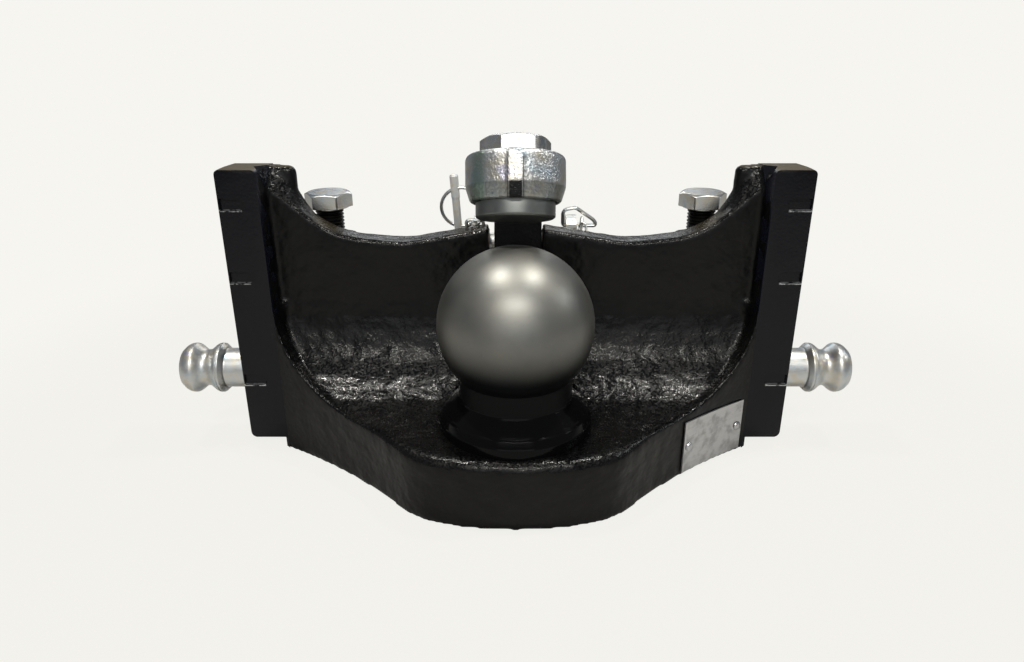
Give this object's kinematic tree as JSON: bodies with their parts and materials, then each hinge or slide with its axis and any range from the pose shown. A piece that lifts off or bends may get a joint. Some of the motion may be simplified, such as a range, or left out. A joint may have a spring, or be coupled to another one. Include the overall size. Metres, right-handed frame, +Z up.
{
  "type": "tractor ball coupling",
  "caption": "Cast slider bracket for a tractor hitch frame with an upright coupling ball, a tilted hinged hold-down above it, side locking pins and clamp bolts.",
  "frame": {"origin": "middle of the footprint, on the surface that the shelf's underside stands on", "axes": "+X to the right as seen from the trailer, +Y towards the tractor, +Z up"},
  "size_m": [0.3884, 0.1407, 0.1849],
  "materials": {
    "black_paint": "gloss black paint on a rough casting",
    "ball_steel": "dark satin turned steel",
    "pad_steel": "dark satin steel",
    "zinc_plate": "zinc-plated steel",
    "bronze": "plain bronze",
    "plate_aluminium": "satin aluminium"
  },
  "bodies": {
    "bracket": {"bracket_casting": "black_paint", "coupling_ball": "ball_steel", "ball_washer": "zinc_plate", "ball_nut": "zinc_plate", "pivot_pin": "zinc_plate", "left_chain_staple": "zinc_plate", "left_chain_link_1": "zinc_plate", "left_chain_link_2": "zinc_plate", "right_chain_staple": "zinc_plate", "right_chain_link_1": "zinc_plate", "right_chain_link_2": "zinc_plate", "type_plate": "plate_aluminium", "plate_rivet_1": "plate_aluminium", "plate_rivet_2": "plate_aluminium"},
    "hold_down": {"hold_down_lever": "zinc_plate", "lever_bush": "bronze", "hold_down_pad": "pad_steel", "hold_down_shim": "pad_steel", "hold_down_bolt": "zinc_plate"},
    "linch_pin": {"linch_pin": "zinc_plate"},
    "linch_ring": {"linch_ring": "zinc_plate"},
    "pin_bail": {"pin_bail": "zinc_plate"},
    "left_side_pin": {"side_pin_left": "zinc_plate"},
    "right_side_pin": {"side_pin_right": "zinc_plate"},
    "left_clamp_bolt": {"clamp_bolt_left": "zinc_plate"},
    "right_clamp_bolt": {"clamp_bolt_right": "zinc_plate"}
  },
  "joints": [
    {"name": "hold_down_hinge", "type": "hinge", "parent": "bracket", "child": "hold_down", "pos_m": [0, 0.0556, 0.1105], "axis": [-1, 0, 0], "range_deg": [0, 95]},
    {"name": "linch_pin_slide", "type": "slide", "parent": "bracket", "child": "linch_pin", "axis": [-0.061, 0, 0.9981], "range_m": [0, 0.035]},
    {"name": "linch_ring_hinge", "type": "hinge", "parent": "linch_pin", "child": "linch_ring", "pos_m": [-0.0351, 0.0556, 0.1448], "axis": [0.9511, 0, 0.309], "range_deg": [0, 110]},
    {"name": "pin_bail_hinge", "type": "hinge", "parent": "bracket", "child": "pin_bail", "pos_m": [0.0323, 0.0556, 0.123], "axis": [-1, 0, 0], "range_deg": [0, 95]},
    {"name": "left_side_pin_slide", "type": "slide", "parent": "bracket", "child": "left_side_pin", "axis": [-1, 0, 0], "range_m": [0, 0.045]},
    {"name": "right_side_pin_slide", "type": "slide", "parent": "bracket", "child": "right_side_pin", "axis": [1, 0, 0], "range_m": [0, 0.045]},
    {"name": "left_clamp_bolt_slide", "type": "slide", "parent": "bracket", "child": "left_clamp_bolt", "axis": [0, 0, 1], "range_m": [0, 0.012]},
    {"name": "right_clamp_bolt_slide", "type": "slide", "parent": "bracket", "child": "right_clamp_bolt", "axis": [0, 0, 1], "range_m": [0, 0.012]}
  ]
}
